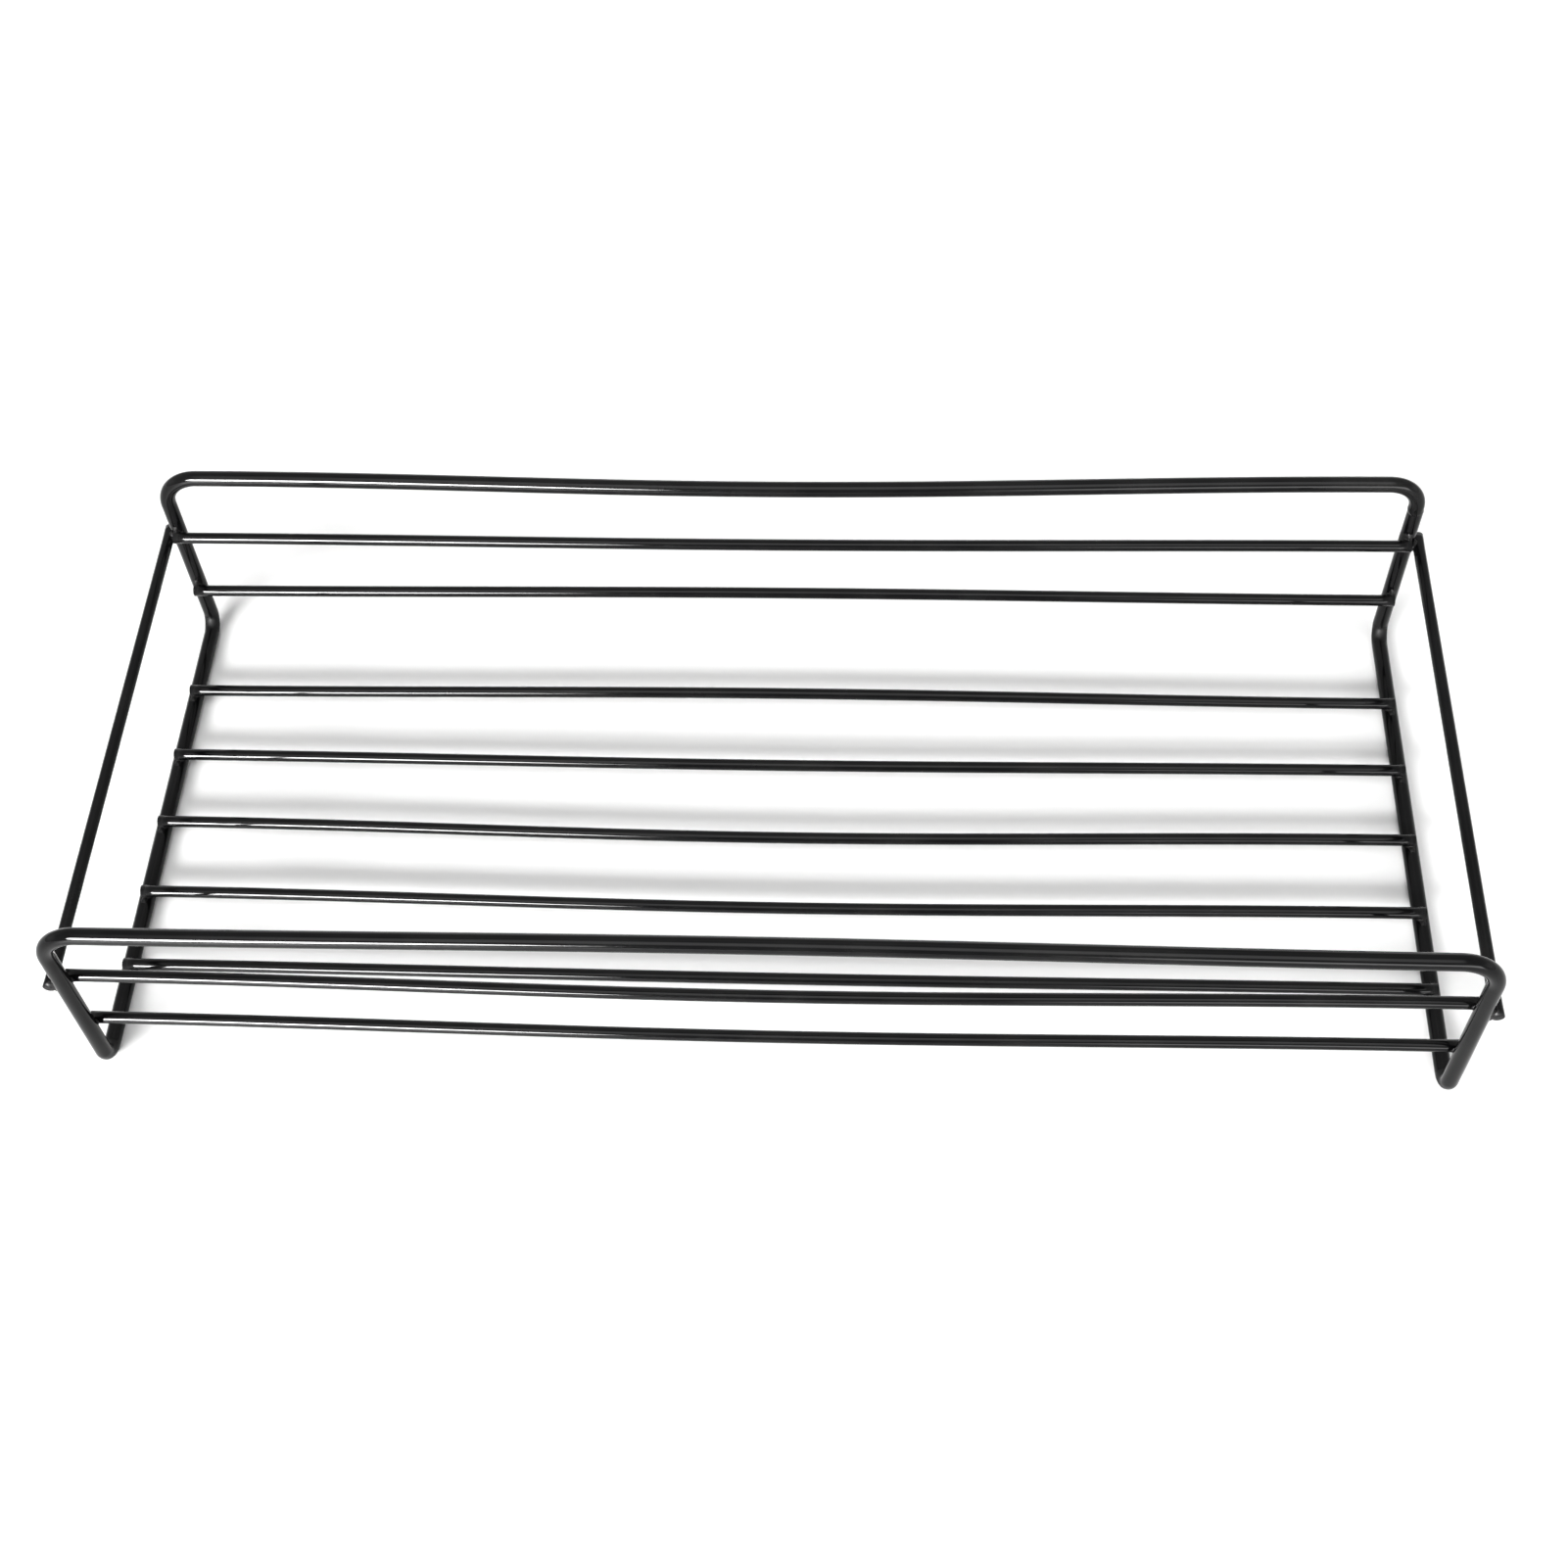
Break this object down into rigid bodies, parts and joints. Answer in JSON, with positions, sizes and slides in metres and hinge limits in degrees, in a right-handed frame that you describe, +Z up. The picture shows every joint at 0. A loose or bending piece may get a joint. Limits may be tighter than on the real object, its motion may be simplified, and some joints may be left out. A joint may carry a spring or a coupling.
{
  "type": "wire wall shelf",
  "caption": "Shallow open basket shelf of gloss black coated steel wire: a thick wire loop forms the lips and floor rails, with thin welded wires across floor, lips and ends.",
  "frame": {"origin": "on the ground, under the middle of the shelf", "axes": "+X to the right along the shelf, +Y from the front lip to the back lip that stands against the wall, +Z up"},
  "size_m": [0.4124, 0.1784, 0.077],
  "materials": {
    "loop_coat": "gloss",
    "wire_coat": "gloss",
    "weld_coat": "semi-gloss"
  },
  "bodies": {
    "root": {"frame_loop": "loop_coat", "floor_wire_1": "wire_coat", "floor_wire_2": "wire_coat", "floor_wire_3": "wire_coat", "floor_wire_4": "wire_coat", "floor_wire_5": "wire_coat", "back_wire_upper": "wire_coat", "back_wire_lower": "wire_coat", "front_wire_upper": "wire_coat", "front_wire_lower": "wire_coat", "side_wire_left": "wire_coat", "side_wire_right": "wire_coat", "weld_floor_1_left": "weld_coat", "weld_floor_1_right": "weld_coat", "weld_floor_2_left": "weld_coat", "weld_floor_2_right": "weld_coat", "weld_floor_3_left": "weld_coat", "weld_floor_3_right": "weld_coat", "weld_floor_4_left": "weld_coat", "weld_floor_4_right": "weld_coat", "weld_floor_5_left": "weld_coat", "weld_floor_5_right": "weld_coat", "weld_back_upper_left": "weld_coat", "weld_back_upper_right": "weld_coat", "weld_back_lower_left": "weld_coat", "weld_back_lower_right": "weld_coat", "weld_front_upper_left": "weld_coat", "weld_front_upper_right": "weld_coat", "weld_front_lower_left": "weld_coat", "weld_front_lower_right": "weld_coat", "weld_side_left_front": "weld_coat", "weld_side_left_back": "weld_coat", "weld_side_right_front": "weld_coat", "weld_side_right_back": "weld_coat"}
  },
  "joints": []
}
